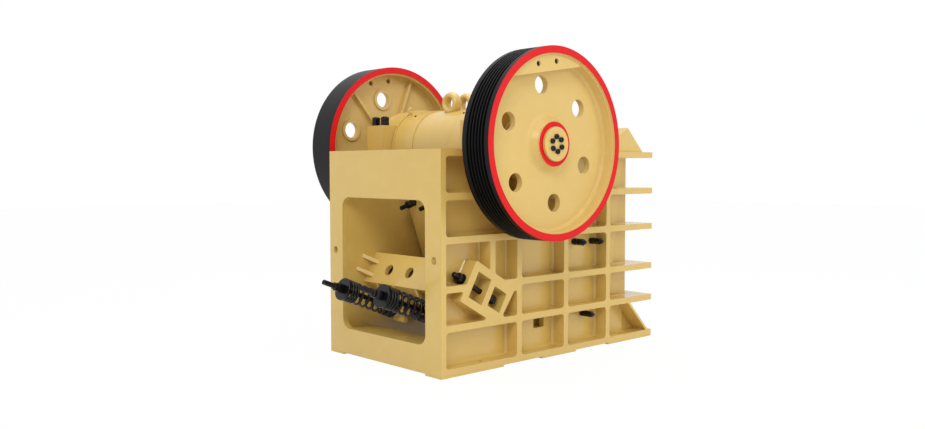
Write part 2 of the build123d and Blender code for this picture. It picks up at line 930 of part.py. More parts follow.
def bearing_cap():
    inner, outer = -bearing_outer_half, -bearing_inner_half
    half_length = shaft_depth - bearing_rear_depth
    cap = block(shaft_x - half_length, shaft_x + half_length, inner, outer, shaft_height, bearing_pad_top)
    crown = round_bar(shaft_x, shaft_height, cap_radius, inner, outer)
    upper = block(shaft_x - cap_radius, shaft_x + cap_radius, inner, outer, shaft_height,
                  shaft_height + cap_radius)
    cap = cap + (crown & upper)
    return cap - round_bar(shaft_x, shaft_height, shaft_radius + running_gap, inner - cut_margin,
                           outer + cut_margin)


def cap_studs():
    middle = -(bearing_inner_half + bearing_outer_half) / 2
    pieces = []
    for side_x in (-1, 1):
        for side_y in (-1, 1):
            x = shaft_x + side_x * cap_stud_offset_x
            y = middle + side_y * cap_stud_offset_y
            height = 2 * cap_nut_height
            nuts = Pos(x, y, bearing_pad_top + height / 2) * hexagon_bar(cap_nut_flats, height)
            end = Pos(x, y, bearing_pad_top + (height + cap_stud_proud) / 2) * Cylinder(
                cap_stud_radius, height + cap_stud_proud)
            pieces.append(nuts + end)
    return apart(pieces)


def bearing_cover():
    outer, inner = -bearing_outer_half - bearing_cover_thickness, -bearing_outer_half
    cover = round_bar(shaft_x, shaft_height, bearing_cover_radius, outer, inner)
    return cover - round_bar(shaft_x, shaft_height, shaft_radius + running_gap, outer - cut_margin,
                             inner + cut_margin)


# Rotor
def eccentric_shaft():
    crank_half = pitman_half_width
    journal_half = hub_inner_half
    end_half = wheel_outer_half - hub_recess
    shaft = round_bar(crank_x, crank_z, crank_radius, -crank_half, crank_half)
    shaft = shaft + round_bar(shaft_x, shaft_height, shaft_radius, -journal_half, journal_half)
    return shaft + round_bar(shaft_x, shaft_height, wheel_seat_radius, -end_half, end_half)


def wheel_section():
    """Half section of a wheel in the XY plane, turned about Y; the outer side is at -Y."""
    outer, inner = -wheel_outer_half, -wheel_inner_half
    rim_inner = wheel_radius - rim_thickness
    web_outer = outer + web_recess
    web_inner = web_outer + web_thickness
    step_inner = rim_inner - rim_step
    points = [
        (wheel_seat_radius, outer + hub_recess),
        (hub_radius, outer + hub_recess),
        (hub_radius, outer + hub_recess + rim_step),
        (hub_root_radius, web_outer),
        (step_inner, web_outer),
        (step_inner, outer + rim_step_depth),
        (rim_inner, outer + rim_step_depth),
        (rim_inner, outer),
        (wheel_radius, outer),
        (wheel_radius, inner),
        (rim_inner, inner),
        (rim_inner, inner - rim_step_depth),
        (step_inner, inner - rim_step_depth),
        (step_inner, web_inner),
        (hub_root_radius, web_inner),
        (hub_inner_radius, inner),
        (hub_inner_radius, -hub_inner_half),
        (wheel_seat_radius, -hub_inner_half),
    ]
    return make_face(Polyline(points, close=True))


def wheel_blank():
    """Turned wheel with its corners rounded, about the Y axis."""
    outer = -wheel_outer_half
    web_outer = outer + web_recess
    step_inner = wheel_radius - rim_thickness - rim_step
    blank = revolve(wheel_section(), Axis.Y)
    for rounding, radius, y in ((hub_root_fillet, hub_root_radius, web_outer),
                                (hub_crown_fillet, hub_radius, outer + hub_recess),
                                (rim_root_fillet, step_inner, web_outer),
                                (rim_root_fillet, step_inner, web_outer + web_thickness)):
        circles = blank.edges().filter_by(GeomType.CIRCLE)
        corner = min(circles, key=lambda edge: abs(edge.radius - radius) + abs(edge.center().Y - y))
        blank = fillet(corner, rounding)
    return blank


def wheel_angles():
    return [wheel_window_angle + index * 360 / window_count for index in range(window_count)]


def around(radius, angle):
    return shaft_x + radius * cos(radians(angle)), shaft_height + radius * sin(radians(angle))


def plain_wheel():
    wheel = Pos(shaft_x, 0, shaft_height) * wheel_blank()
    outer, inner = -wheel_outer_half, -wheel_inner_half
    web_inner = outer + web_recess + web_thickness
    step_inner = wheel_radius - rim_thickness - rim_step
    rib_angle = 180 / window_count
    for angle in wheel_angles():
        x, z = around(wheel_window_circle, angle)
        wheel = wheel + round_bar(x, z, boss_radius, web_inner, web_inner + boss_height)
    for angle in wheel_angles():
        x, z = around((hub_inner_radius + step_inner) / 2, angle + rib_angle)
        rib = Box(step_inner - hub_inner_radius + rim_step, wheel_rib_height, wheel_rib_thickness)
        turned = Pos(x, web_inner + wheel_rib_height / 2, z) * Rot(0, -(angle + rib_angle), 0)
        wheel = wheel + turned * rib
    for angle in wheel_angles():
        x, z = around(wheel_window_circle, angle)
        wheel = wheel - round_bar(x, z, wheel_window_radius, outer, inner)
    return wheel


def counterweight_segment():
    """Cast-in segment on the side of the wheel opposite the crank."""
    step_inner = wheel_radius - rim_thickness - rim_step
    y0, y1 = -wheel_outer_half + counterweight_recess, -wheel_outer_half + web_recess
    disc = round_bar(shaft_x, shaft_height, step_inner, y0, y1)
    reach = 2 * wheel_radius
    x, z = around(counterweight_chord + reach / 2, wheel_window_angle)
    keep = Pos(x, (y0 + y1) / 2, z) * Rot(0, -wheel_window_angle, 0) * Box(reach, y1 - y0, 2 * reach)
    return disc & keep


def counterweight_bores():
    tools = []
    for side in (-1, 1):
        angle = wheel_window_angle + side * counterweight_bolt_spread
        x, z = around(counterweight_bolt_circle, angle)
        tools.append(round_bar(x, z, counterweight_bolt_radius, -wheel_outer_half, -wheel_inner_half))
    return tools


def weighted_wheel():
    wheel = plain_wheel() + counterweight_segment()
    for tool in counterweight_bores():
        wheel = wheel - tool
    return wheel


def belt_grooves():
    middle = -(wheel_outer_half + wheel_inner_half) / 2
    floor = wheel_radius - groove_depth
    tools = []
    for index in range(groove_count):
        y = middle + (index - (groove_count - 1) / 2) * groove_pitch
        points = [
            (wheel_radius + fit_margin, y - groove_top / 2),
            (floor, y - groove_floor / 2),
            (floor, y + groove_floor / 2),
            (wheel_radius + fit_margin, y + groove_top / 2),
        ]
        section = make_face(Polyline(points, close=True))
        tools.append(Pos(shaft_x, 0, shaft_height) * revolve(section, Axis.Y))
    return tools


def hub_cover():
    outer = -wheel_outer_half + hub_recess - hub_cover_thickness
    return round_bar(shaft_x, shaft_height, hub_cover_radius, outer, -wheel_outer_half + hub_recess)


def hub_bolts():
    base = -wheel_outer_half + hub_recess - hub_cover_thickness
    pieces = []
    for index in range(hub_bolt_count):
        x, z = around(hub_bolt_circle, 90 + hub_bolt_angle + index * 360 / hub_bolt_count)
        pieces.append(round_bar(x, z, hub_bolt_radius, base - hub_bolt_height, base))
    return apart(pieces)


# Moving jaw
def pitman_outline():
    """Body below the drum, between the two planes that touch it."""
    back_x, back_z = crank_x - drum_waist_radius * back_cos, crank_z - drum_waist_radius * back_sin
    nose_x, nose_z = crank_x + drum_waist_radius * front_cos, crank_z + drum_waist_radius * front_sin
    foot = pitman_foot_height
    back_foot = back_x + (back_z - foot) * tan(radians(pitman_back_slope))
    front_foot = nose_x + (nose_z - foot) * tan(radians(pitman_front_slope))
    return [(back_x, back_z), (back_foot, foot), (front_foot, foot), (nose_x, nose_z)]


def pitman():
    half = pitman_half_width - pitman_cover_thickness
    body = slab(pitman_outline(), -half, half)
    body = body + round_bar(crank_x, crank_z, drum_waist_radius, -half, half)
    for side in (-1, 1):
        y0, y1 = side * drum_waist_half, side * half
        body = body + round_bar(crank_x, crank_z, drum_radius, min(y0, y1), max(y0, y1))
        body = body + rod_lugs(side * rod_offset) - rod_pin(side * rod_offset)
    body = body - jaw_back_cut() - toggle_notch() - moving_toggle_seat()
    return body - round_bar(crank_x, crank_z, crank_radius + running_gap, -half - cut_margin,
                            half + cut_margin)


def jaw_back_cut():
    """Space in front of the plane that the moving jaw plate lies on."""
    top, foot = moving_jaw_top + jaw_thickness, pitman_foot_height - jaw_thickness
    back_top = moving_face_x(top) - jaw_thickness / front_cos
    back_foot = moving_face_x(foot) - jaw_thickness / front_cos
    reach = gape
    points = [(back_foot, foot), (back_foot + reach, foot), (back_top + reach, top), (back_top, top)]
    return slab(points, -half_width, half_width)


def pitman_cover():
    outer, inner = -pitman_half_width, -pitman_half_width + pitman_cover_thickness
    cover = round_bar(crank_x, crank_z, pitman_cover_radius, outer, inner) - jaw_back_cut()
    return cover - round_bar(crank_x, crank_z, crank_radius + running_gap, outer - cut_margin,
                             inner + cut_margin)


def on_drum(reach, angle, y, shape):
    x = crank_x + reach * cos(radians(angle))
    z = crank_z + reach * sin(radians(angle))
    return Pos(x, y, z) * shape


def lifting_eyes():
    """Two large eyes in the middle of the drum and a small eye bolt near each end."""
    drum = round_bar(crank_x, crank_z, drum_waist_radius, -half_width, half_width)
    pieces = []
    section = Ellipse(lifting_eye_half_depth, lifting_eye_half_thickness)
    ring = Rot(0, 90, 0) * revolve(Plane.XZ * Pos(lifting_eye_radius, 0) * section, Axis.Z)
    for angle in lifting_eye_angles:
        pieces.append(on_drum(lifting_eye_reach, angle, 0, ring) - drum)
    for side in (-1, 1):
        y = side * (pitman_half_width - pitman_cover_thickness - drum_eye_inset)
        reach = drum_radius + drum_eye_height
        ring = Rot(90, 0, 0) * Torus(drum_eye_radius, drum_eye_wire)
        shank_length = drum_eye_height - drum_eye_radius
        shank = Rot(0, 90 - drum_eye_angle, 0) * Cylinder(drum_eye_wire + 2, shank_length)
        middle = drum_radius + shank_length / 2
        pieces.append(on_drum(reach, drum_eye_angle, y, ring) + on_drum(middle, drum_eye_angle, y, shank))
    return apart(pieces)


def toothed_plate(bottom, top, width):
    """Jaw plate standing on the XZ plane's axis: ribbed face at +X, back at x = 0."""
    count = int(width / tooth_pitch)
    edge = (width - count * tooth_pitch) / 2
    valley, peak = jaw_thickness - tooth_depth, jaw_thickness
    points = [(0, -width / 2), (0, width / 2), (valley, width / 2)]
    for index in range(count):
        y = width / 2 - edge - index * tooth_pitch
        points += [(peak, y - 0.35 * tooth_pitch), (peak, y - 0.65 * tooth_pitch),
                   (valley, y - tooth_pitch)]
    points.append((valley, -width / 2))
    unique = [point for index, point in enumerate(points) if point != points[index - 1]]
    face = make_face(Polyline(unique, close=True))
    return Pos(0, 0, bottom) * extrude(face, amount=top - bottom)


def moving_jaw_plate():
    length = (moving_jaw_top - jaw_bottom) / front_cos
    foot = moving_face_x(jaw_bottom) - jaw_thickness / front_cos
    return Pos(foot, 0, jaw_bottom) * Rot(0, -pitman_front_slope, 0) * toothed_plate(0, length, jaw_width)


def fixed_jaw_plate():
    rise = fixed_jaw_top - jaw_bottom
    run = fixed_face_x(fixed_jaw_top) - fixed_face_x(jaw_bottom)
    length = sqrt(rise * rise + run * run)
    x0, x1 = fixed_face_x(jaw_bottom), fixed_face_x(fixed_jaw_top)
    plate = slab([(x0, jaw_bottom), (x0 + jaw_thickness, jaw_bottom),
                  (x1 + jaw_thickness, fixed_jaw_top), (x1, fixed_jaw_top)],
                 -jaw_width / 2, jaw_width / 2)
    lean = Vector(run, 0, rise).normalized()
    count = int(jaw_width / tooth_pitch)
    for index in range(count):
        y = -jaw_width / 2 + (index + 0.5) * tooth_pitch
        floor = 0.3 * tooth_pitch
        mouth = [
            (x0 - fit_margin, y - tooth_pitch / 2 + floor / 2),
            (x0 + tooth_depth, y - floor / 2),
            (x0 + tooth_depth, y + floor / 2),
            (x0 - fit_margin, y + tooth_pitch / 2 - floor / 2),
        ]
        start = jaw_bottom - cut_margin
        shift = -cut_margin * run / rise
        face = make_face(Polyline([(x + shift, v, start) for x, v in mouth], close=True))
        groove = extrude(face, amount=length + 4 * cut_margin, dir=(lean.X, lean.Y, lean.Z))
        plate = plate - groove
    return plate


def cheek_plate():
    gap = discharge_gap / 2
    x_top, x_foot = fixed_face_x(cheek_top) + jaw_thickness, fixed_face_x(cheek_bottom) + jaw_thickness
    rear_top, rear_foot = moving_face_x(cheek_top) - gap, moving_face_x(cheek_bottom) - gap
    points = [(rear_foot, cheek_bottom), (x_foot, cheek_bottom), (x_top, cheek_top), (rear_top, cheek_top)]
    return slab(points, -wall_inner, -wall_inner + cheek_thickness)


def cheek_studs():
    pieces = []
    root = -wall_inner
    tip = -half_width - cheek_stud_reach
    for place, z in cheek_stud_places:
        x = deep(place)
        stud = round_bar(x, z, cheek_stud_radius, tip, root)
        middle = -wall_outer - cheek_nut_stack / 2
        nuts = Pos(x, middle, z) * Rot(90, 0, 0) * hexagon_bar(cheek_nut_flats, cheek_nut_stack)
        pieces.append(one([stud, nuts]))
    return apart(pieces)


def jaw_bolts():
    """Bolt ends and nuts on the back of the pitman that hold the moving jaw plate."""
    offset_z = crank_z - jaw_bolt_height
    base_x = crank_x - (drum_waist_radius - back_sin * offset_z) / back_cos
    pieces = []
    for index in range(4):
        y = (index - 1.5) * jaw_bolt_pitch
        rod = Pos(0, 0, jaw_bolt_length / 2) * Cylinder(jaw_bolt_radius, jaw_bolt_length)
        nut = Pos(0, 0, jaw_bolt_nut_height / 2) * hexagon_bar(jaw_bolt_nut_flats, jaw_bolt_nut_height)
        bolt = Pos(base_x, y, jaw_bolt_height) * Rot(0, -90 - pitman_back_slope, 0) * (rod + nut)
        pieces.append(bolt)
    return apart(pieces)


def pair(shape):
    return apart([shape, mirrored(shape)])


def both_sides(name, shape):
    write("sheave_side_" + name, shape)
    write("flywheel_side_" + name, mirrored(shape))


# Frame nodes
write("rear_wall", rear_wall())
both_sides("wall", side_wall())
write("front_wall", front_wall())
write("feed_lip", feed_lip())
write("rear_tie", rear_tie())
write("foot_pads", foot_pads())
write("toggle_beam", toggle_beam())
write("toggle_seat", toggle_seat())
write("toggle_plate", toggle_plate())
both_sides("adjusting_bolt", adjusting_bolt())
write("spring_brackets", pair(spring_bracket()))
both_sides("tension_rod", tension_rod(-rod_offset))
both_sides("rod_nut", rod_nut(-rod_offset))
both_sides("tension_spring", tension_spring(-rod_offset))
both_sides("bearing_seat", bearing_seat())
both_sides("bearing_cap", bearing_cap())
write("cap_studs", pair(cap_studs()))
both_sides("bearing_cover", bearing_cover())
write("fixed_jaw_plate", fixed_jaw_plate())
both_sides("cheek_plate", cheek_plate())
both_sides("cheek_studs", cheek_studs())

# Rotor nodes
wheel_body = weighted_wheel()
sheave = wheel_body
for groove in belt_grooves():
    sheave = sheave - groove
write("eccentric_shaft", eccentric_shaft())
write("belt_sheave", sheave)
write("flywheel", mirrored(wheel_body))
write("sheave_hub_cover", hub_cover())
write("flywheel_hub_cover", mirrored(hub_cover()))
write("hub_bolts", pair(hub_bolts()))

# Moving jaw nodes
write("pitman", pitman())
write("pitman_covers", pair(pitman_cover()))
write("lifting_eyes", lifting_eyes())
write("moving_jaw_plate", moving_jaw_plate())
write("moving_toggle_seat", moving_toggle_seat())
write("jaw_bolts", jaw_bolts())
write("rod_pins", pair(rod_pin(-rod_offset)))
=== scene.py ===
import bpy
import bmesh
import math
from mathutils import Matrix, Vector


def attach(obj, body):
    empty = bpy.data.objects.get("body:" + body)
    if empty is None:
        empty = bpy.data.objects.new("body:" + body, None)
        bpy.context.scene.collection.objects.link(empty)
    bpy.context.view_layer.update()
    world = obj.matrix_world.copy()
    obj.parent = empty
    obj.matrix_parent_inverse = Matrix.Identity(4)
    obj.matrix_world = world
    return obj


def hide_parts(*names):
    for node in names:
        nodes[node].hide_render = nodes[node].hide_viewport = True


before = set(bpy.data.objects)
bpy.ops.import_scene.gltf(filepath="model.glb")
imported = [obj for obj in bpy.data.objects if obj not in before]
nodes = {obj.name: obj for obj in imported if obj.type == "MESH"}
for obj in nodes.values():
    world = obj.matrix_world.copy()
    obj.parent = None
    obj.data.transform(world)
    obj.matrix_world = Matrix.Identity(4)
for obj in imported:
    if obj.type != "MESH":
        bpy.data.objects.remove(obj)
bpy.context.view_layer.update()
print("frame loaded:", len(nodes), "nodes")


def toLinear(hexCode):
    parts = [int(hexCode[i:i + 2], 16) / 255 for i in (1, 3, 5)]
    linear = [p / 12.92 if p <= 0.04045 else ((p + 0.055) / 1.055) ** 2.4 for p in parts]
    return linear + [1.0]


def addNode(tree, kind, inputs=None, **settings):
    node = tree.nodes.new(kind)
    for name, value in settings.items():
        setattr(node, name, value)
    for key, value in (inputs or {}).items():
        if isinstance(value, bpy.types.NodeSocket):
            tree.links.new(value, node.inputs[key])
        else:
            node.inputs[key].default_value = value
    return node


def newMaterial(name):
    material = bpy.data.materials.new(name)
    material.use_nodes = True
    material.node_tree.nodes.clear()
    return material, material.node_tree


def mixColour(tree, factor, first, second):
    mix = addNode(tree, "ShaderNodeMix", {0: factor, 6: first, 7: second}, data_type="RGBA")
    return mix.outputs[2]


def closeMaterial(tree, colour, normal, **sockets):
    inputs = {"Base Color": colour, "Normal": normal}
    inputs.update({key.replace("_", " "): value for key, value in sockets.items()})
    shader = addNode(tree, "ShaderNodeBsdfPrincipled", inputs)
    addNode(tree, "ShaderNodeOutputMaterial", {"Surface": shader.outputs[0]})


def noiseOf(tree, millimetres, detail=3.0, roughness=0.5):
    # noise whose grains are about this many millimetres across
    place = addNode(tree, "ShaderNodeTexCoord").outputs["Object"]
    noise = addNode(tree, "ShaderNodeTexNoise", {
        "Vector": place, "Scale": 1000 / millimetres, "Detail": detail, "Roughness": roughness})
    return noise.outputs["Fac"]


def roundedNormal(tree, height, strength, distance, edgeRadius):
    # soft edges, because paint rounds every corner of the plates by a few millimetres
    edge = addNode(tree, "ShaderNodeBevel", {"Radius": edgeRadius}, samples=4).outputs[0]
    return addNode(tree, "ShaderNodeBump", {
        "Strength": strength, "Distance": distance, "Height": height, "Normal": edge}).outputs[0]


paintLook = {
    "base": "#D4B463", "shade": "#CCAA58", "dust": "#DBBF76",
    "roughness": 0.24, "castRoughness": 0.28, "coat": 0.3, "coatRoughness": 0.08,
    "edge": 0.004, "castEdge": 0.006, "hazeFrom": 0.45, "hazeTo": 0.8, "hazeShare": 0.22,
}


def yellowColour(tree):
    # enamel laid on by spray: slightly uneven cover over a metre, thin haze of dust over a hand's width
    cover = noiseOf(tree, 700, 2.0)
    haze = noiseOf(tree, 90, 4.0)
    covered = mixColour(tree, cover, toLinear(paintLook["base"]), toLinear(paintLook["shade"]))
    faint = addNode(tree, "ShaderNodeMapRange", {
        "Value": haze, "From Min": paintLook["hazeFrom"], "From Max": paintLook["hazeTo"],
        "To Max": paintLook["hazeShare"]}).outputs[0]
    return mixColour(tree, faint, covered, toLinear(paintLook["dust"]))


def makeSprayedPaint():
    # sprayed enamel on rolled plate: orange peel, drawn at 14 mm because the real 2 mm would not show
    material, tree = newMaterial("sprayedEnamelOnPlate")
    normal = roundedNormal(tree, noiseOf(tree, 14, 2.0), 0.08, 0.0005, paintLook["edge"])
    closeMaterial(tree, yellowColour(tree), normal, Roughness=paintLook["roughness"],
                  Coat_Weight=paintLook["coat"], Coat_Roughness=paintLook["coatRoughness"])
    return material


def makeCastPaint():
    # enamel over sand casting: the grain of the mould still shows through, drawn at 22 mm
    material, tree = newMaterial("enamelOnCastSteel")
    normal = roundedNormal(tree, noiseOf(tree, 22, 4.0, 0.6), 0.2, 0.0012, paintLook["castEdge"])
    closeMaterial(tree, yellowColour(tree), normal, Roughness=paintLook["castRoughness"],
                  Coat_Weight=paintLook["coat"], Coat_Roughness=paintLook["coatRoughness"])
    return material


wheelLook = {
    "axisX": -0.465, "axisZ": 1.635, "ringInner": 0.642, "faceOuter": 1.0515, "faceInner": 0.7955,
    "hubFace": 1.0155, "hubRing": 0.122, "black": "#060606", "red": "#D21217",
    "hubReach": 0.3, "beltStep": 0.01, "beltDullness": 0.2, "specular": 0.18, "edge": 0.003,
    "paintedSheen": "#FFFFFF", "paintedSheenShare": 0.05,
}


def compare(tree, value, threshold):
    return addNode(tree, "ShaderNodeMath", {0: value, 1: threshold}, operation="GREATER_THAN").outputs[0]


def calculate(tree, operation, first, second=0.0):
    return addNode(tree, "ShaderNodeMath", {0: first, 1: second}, operation=operation).outputs[0]


def makeWheelPaint():
    # cast wheel in three enamels: yellow web, black belt face and red rings on the rim and the hub
    look = wheelLook
    material, tree = newMaterial("threeColourWheelEnamel")
    place = addNode(tree, "ShaderNodeTexCoord").outputs["Object"]
    axes = addNode(tree, "ShaderNodeSeparateXYZ", {0: place}).outputs
    across = calculate(tree, "SUBTRACT", axes[0], look["axisX"])
    up = calculate(tree, "SUBTRACT", axes[2], look["axisZ"])
    squares = calculate(tree, "ADD", calculate(tree, "MULTIPLY", across, across),
                        calculate(tree, "MULTIPLY", up, up))
    radius = calculate(tree, "SQRT", squares)
    depth = calculate(tree, "ABSOLUTE", axes[1])
    onRim = compare(tree, radius, look["ringInner"])
    outerFace = compare(tree, depth, look["faceOuter"])
    innerFace = calculate(tree, "SUBTRACT", 1.0, compare(tree, depth, look["faceInner"]))
    rimFace = calculate(tree, "MULTIPLY", onRim, calculate(tree, "ADD", outerFace, innerFace))
    hubFace = calculate(tree, "MULTIPLY", compare(tree, depth, look["hubFace"]),
                        compare(tree, radius, look["hubRing"]))
    nearHub = calculate(tree, "SUBTRACT", 1.0, compare(tree, radius, look["hubReach"]))
    hubFace = calculate(tree, "MULTIPLY", hubFace, nearHub)
    beltInner = look["ringInner"] + look["beltStep"]
    beltFace = calculate(tree, "MULTIPLY", onRim, compare(tree, radius, beltInner))
    # a twentieth of white over the yellow web is painted sheen: it stands in for the gloss that the low
    # specular level of the wheel takes away
    web = mixColour(tree, look["paintedSheenShare"], yellowColour(tree), toLinear(look["paintedSheen"]))
    colour = mixColour(tree, beltFace, web, toLinear(look["black"]))
    colour = mixColour(tree, calculate(tree, "ADD", rimFace, hubFace), colour, toLinear(look["red"]))
    normal = roundedNormal(tree, noiseOf(tree, 22, 4.0, 0.6), 0.12, 0.0008, look["edge"])
    dull = calculate(tree, "MULTIPLY_ADD", beltFace, look["beltDullness"])
    dull.node.inputs[2].default_value = paintLook["roughness"]
    closeMaterial(tree, colour, normal, Roughness=dull, Specular_IOR_Level=look["specular"])
    return material


blackSteelLook = {"dark": "#050507", "light": "#0D0D10", "roughness": 0.3, "specular": 0.3, "edge": 0.001}


def makeBlackSteel():
    # hot-blackened steel of bolts and springs: near black with an oily sheen, mottled over 30 mm
    look = blackSteelLook
    material, tree = newMaterial("oiledBlackSteel")
    colour = mixColour(tree, noiseOf(tree, 30, 4.0), toLinear(look["dark"]), toLinear(look["light"]))
    normal = roundedNormal(tree, noiseOf(tree, 8, 3.0), 0.12, 0.0003, look["edge"])
    closeMaterial(tree, colour, normal, Roughness=look["roughness"], Specular_IOR_Level=look["specular"])
    return material


jawSteelLook = {"dark": "#4A443D", "light": "#5E564B", "roughness": 0.55, "metallic": 0.6, "edge": 0.004}


def makeJawSteel():
    # cast manganese steel: dark, dull and grainy
    look = jawSteelLook
    material, tree = newMaterial("castManganeseSteel")
    colour = mixColour(tree, noiseOf(tree, 60, 5.0), toLinear(look["dark"]), toLinear(look["light"]))
    normal = roundedNormal(tree, noiseOf(tree, 12, 5.0, 0.65), 0.45, 0.0015, look["edge"])
    closeMaterial(tree, colour, normal, Roughness=look["roughness"], Metallic=look["metallic"])
    return material


platePaint = makeSprayedPaint()
castPaint = makeCastPaint()
wheelPaint = makeWheelPaint()
blackSteel = makeBlackSteel()
jawSteel = makeJawSteel()
print("materials made")

castNodes = ["pitman", "pitman_covers", "spring_brackets", "lifting_eyes", "eccentric_shaft",
             "moving_toggle_seat", "toggle_seat", "toggle_plate",
             "sheave_side_bearing_seat", "flywheel_side_bearing_seat",
             "sheave_side_bearing_cap", "flywheel_side_bearing_cap",
             "sheave_side_bearing_cover", "flywheel_side_bearing_cover",
             "sheave_hub_cover", "flywheel_hub_cover"]
wheelNodes = ["belt_sheave", "flywheel"]
jawNodes = ["fixed_jaw_plate", "moving_jaw_plate", "sheave_side_cheek_plate", "flywheel_side_cheek_plate"]
blackNodes = ["hub_bolts", "jaw_bolts", "cap_studs", "rod_pins",
              "sheave_side_cheek_studs", "flywheel_side_cheek_studs",
              "sheave_side_adjusting_bolt", "flywheel_side_adjusting_bolt",
              "sheave_side_rod_nut", "flywheel_side_rod_nut",
              "sheave_side_tension_rod", "flywheel_side_tension_rod",
              "sheave_side_tension_spring", "flywheel_side_tension_spring"]
for name, node in nodes.items():
    finish = platePaint
    for group, material in ((castNodes, castPaint), (wheelNodes, wheelPaint), (jawNodes, jawSteel),
                            (blackNodes, blackSteel)):
        if name in group:
            finish = material
    node.data.materials.clear()
    node.data.materials.append(finish)
print("finishes given to the solids")


partLook = {
    "steps": 28, "washerSteps": 40, "screwSteps": 24, "merge": 0.00001, "sharpAngle": 32,
    "nutBevel": 0.06, "nutBevelCuts": 2,
}


def makePart(profile, steps=partLook["steps"]):
    # a (distance, radius) profile spun round Z
    part = bmesh.new()
    verts = [part.verts.new((radius, 0, distance)) for distance, radius in profile]
    edges = [part.edges.new(pair) for pair in zip(verts, verts[1:])]
    bmesh.ops.spin(part, geom=verts + edges, cent=(0, 0, 0), axis=(0, 0, 1), angle=2 * math.pi,
                   steps=steps, use_merge=True)
    bmesh.ops.remove_doubles(part, verts=part.verts, dist=partLook["merge"])
    return part


def standPart(target, part, places):
    # a copy of the part at each place
    mesh = bpy.data.meshes.new("copy")
    part.to_mesh(mesh)
    part.free()
    for place in places:
        copy = mesh.copy()
        copy.transform(place)
        target.from_mesh(copy)
        bpy.data.meshes.remove(copy)
    bpy.data.meshes.remove(mesh)


def finishPiece(name, shape, material, body, replaced):
    bmesh.ops.recalc_face_normals(shape, faces=shape.faces)
    mesh = bpy.data.meshes.new(name)
    shape.to_mesh(mesh)
    shape.free()
    mesh.materials.append(material)
    mesh.polygons.foreach_set("use_smooth", [True] * len(mesh.polygons))
    mesh.set_sharp_from_angle(angle=math.radians(partLook["sharpAngle"]))
    piece = bpy.data.objects.new(name, mesh)
    bpy.context.scene.collection.objects.link(piece)
    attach(piece, body)
    if replaced:
        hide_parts(*replaced)
    print(name, "made:", len(mesh.polygons), "faces")


def makeNut(flats, height, corners=6):
    # nut with its edges broken all round
    part = bmesh.new()
    radius = flats / 2 / math.cos(math.pi / corners)
    bmesh.ops.create_cone(part, cap_ends=True, segments=corners, radius1=radius, radius2=radius,
                          depth=height)
    rims = [edge for edge in part.edges if abs(edge.verts[0].co.z - edge.verts[1].co.z) < height / 2]
    bmesh.ops.bevel(part, geom=rims, offset=flats * partLook["nutBevel"], offset_type="OFFSET",
                    affect="EDGES", segments=partLook["nutBevelCuts"], profile=0.5, material=-1)
    return part


def makeWasher(radius, thickness):
    edge = min(0.002, thickness / 4)
    half = thickness / 2
    return makePart([(-half, 0), (-half, radius - edge), (edge - half, radius), (half - edge, radius),
                     (half, radius - edge), (half, 0)], partLook["washerSteps"])


def threadedProfile(look):
    # stud from its chamfered tip: thread rings as deep as the pitch allows, then the plain shank
    radius, pitch = look["radius"], look["pitch"]
    root = radius - 0.6 * pitch
    profile = [(0, 0), (0, root - 0.5 * pitch), (0.5 * pitch, root)]
    distance = 0.5 * pitch
    while distance + pitch < look["thread"]:
        profile += [(distance + 0.4 * pitch, radius), (distance + 0.6 * pitch, radius),
                    (distance + pitch, root)]
        distance += pitch
    return profile + [(look["thread"], radius), (look["length"], radius), (look["length"], 0)]


def makeStud(look):
    # stud, nuts and washers, all measured along Z from the tip of the stud
    stud = bmesh.new()
    standPart(stud, makePart(threadedProfile(look)), [Matrix()])
    for start, flats, height, *corners in look.get("nuts", []):
        place = Matrix.Translation((0, 0, start + height / 2))
        standPart(stud, makeNut(flats, height, *corners), [place])
    for start, radius, thickness in look.get("washers", []):
        place = Matrix.Translation((0, 0, start + thickness / 2))
        standPart(stud, makeWasher(radius, thickness), [place])
    return stud


def along(point, direction, turn=0.0):
    # place that stands a part's Z on a direction
    facing = Vector(direction).to_track_quat("Z", "Y").to_matrix().to_4x4()
    return Matrix.Translation(point) @ facing @ Matrix.Rotation(math.radians(turn), 4, "Z")


def sloped(start, slope, distance, y):
    # point at a distance down a line that slopes to the front
    angle = math.radians(slope)
    return (start[0] + distance * math.cos(angle), y, start[1] - distance * math.sin(angle))


def slopeDirection(slope):
    return (math.cos(math.radians(slope)), 0, -math.sin(math.radians(slope)))


sides = {"sheave": -1, "flywheel": 1}

# tension rods and their springs, measured from the rear tip of the rod
rodLook = {
    "start": (-1.6, 0.627), "slope": 21.6, "y": 0.24, "radius": 0.0195, "pitch": 0.005, "thread": 0.17,
    "length": 0.172, "nuts": [(0.095, 0.052, 0.024), (0.12, 0.062, 0.059, 4)],
    "washers": [(0.179, 0.086, 0.026), (0.68, 0.086, 0.013)], "turn": 45,
}
springLook = {"from": 0.205, "to": 0.68, "wire": 0.02, "radius": 0.074, "perTurn": 32,
              "rear": (3.0, 0.026), "front": (2.0, 0.033), "pitch": 0.063}


def makeCoil(look):
    # round wire spun round the rod: narrow turns at both ends, wider working turns between them
    wire, perTurn, rear, front = look["wire"], look["perTurn"], look["rear"], look["front"]
    room = look["to"] - look["from"] - wire - rear[0] * rear[1] - front[0] * front[1]
    turns = round(room / look["pitch"] * perTurn) / perTurn
    part = bmesh.new()
    stand = Matrix.Translation((look["radius"], 0, wire / 2)) @ Matrix.Rotation(math.radians(90), 4, "X")
    verts = bmesh.ops.create_circle(part, segments=12, radius=wire / 2, matrix=stand)["verts"]
    ring = verts + list(part.edges)
    for count, pitch in (rear, (turns, room / turns), front):
        made = bmesh.ops.spin(part, geom=ring, cent=(0, 0, 0), axis=(0, 0, 1), dvec=(0, 0, pitch / perTurn),
                              angle=2 * math.pi * count, steps=round(count * perTurn))
        ring = made["geom_last"]
    bmesh.ops.holes_fill(part, edges=[edge for edge in part.edges if edge.is_boundary], sides=0)
    return part


